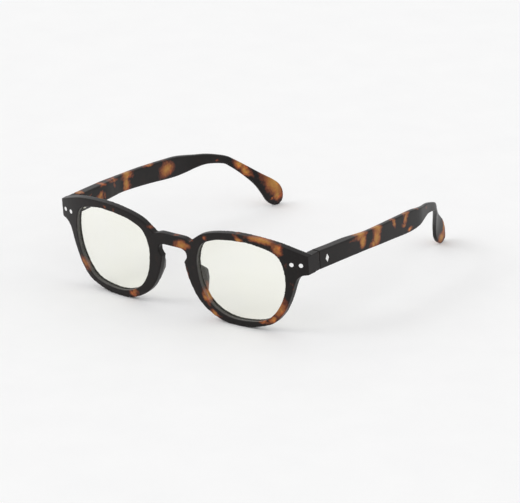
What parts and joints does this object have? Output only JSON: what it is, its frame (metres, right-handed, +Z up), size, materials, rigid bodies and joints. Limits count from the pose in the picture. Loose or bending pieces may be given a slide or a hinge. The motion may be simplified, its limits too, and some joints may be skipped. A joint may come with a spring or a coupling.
{
  "type": "glasses",
  "caption": "Screen glasses with a round-cornered keyhole-bridge front, pale lenses and folding temples on sprung hinges.",
  "frame": {"origin": "on the table under the middle of the open glasses' bounding box", "axes": "+X to the wearer's left, +Y back along the open temples, +Z up; the lenses face -Y"},
  "size_m": [0.144, 0.1494, 0.0454],
  "materials": {
    "front_plastic": "satin dark tortoise with amber and red-brown patches",
    "temple_plastic": "satin dark tortoise with amber and red-brown patches",
    "lens": "clear with a faint yellow cast",
    "rivet_metal": "polished pale silver",
    "hinge_metal": "plated nickel silver",
    "screw_metal": "bright steel",
    "spring_wire": "drawn spring steel",
    "inlay_metal": "polished silver"
  },
  "bodies": {
    "front": {"front_frame": "front_plastic", "lens_left": "lens", "lens_right": "lens", "front_rivets": "rivet_metal", "hinge_leaf_left": "hinge_metal", "hinge_leaf_right": "hinge_metal", "leaf_screws": "screw_metal", "pivot_screw_left": "screw_metal", "pivot_screw_right": "screw_metal"},
    "left_slider": {"spring_slider_left": "hinge_metal", "slider_collar_left": "hinge_metal"},
    "left_temple": {"temple_left": "temple_plastic", "hinge_housing_left": "hinge_metal", "flex_spring_left": "spring_wire", "diamond_inlay_left": "inlay_metal"},
    "right_slider": {"spring_slider_right": "hinge_metal", "slider_collar_right": "hinge_metal"},
    "right_temple": {"temple_right": "temple_plastic", "hinge_housing_right": "hinge_metal", "flex_spring_right": "spring_wire", "diamond_inlay_right": "inlay_metal"}
  },
  "joints": [
    {"name": "left_temple_fold", "type": "hinge", "parent": "front", "child": "left_slider", "pos_m": [0.065, -0.0577, 0.03519], "axis": [0, -0.0802, 0.9968], "range_deg": [0, 86]},
    {"name": "left_spring_slide", "type": "slide", "parent": "left_slider", "child": "left_temple", "axis": [0, 0.9968, 0.0802], "range_m": [0, 0.0012], "stiffness_N_per_m": 900, "springref_m": -0.002, "deforming": ["flex_spring_left"]},
    {"name": "right_temple_fold", "type": "hinge", "parent": "front", "child": "right_slider", "pos_m": [-0.065, -0.0577, 0.03519], "axis": [0, 0.0802, -0.9968], "range_deg": [0, 78]},
    {"name": "right_spring_slide", "type": "slide", "parent": "right_slider", "child": "right_temple", "axis": [0, 0.9968, 0.0802], "range_m": [0, 0.0012], "stiffness_N_per_m": 900, "springref_m": -0.002, "deforming": ["flex_spring_right"]}
  ]
}
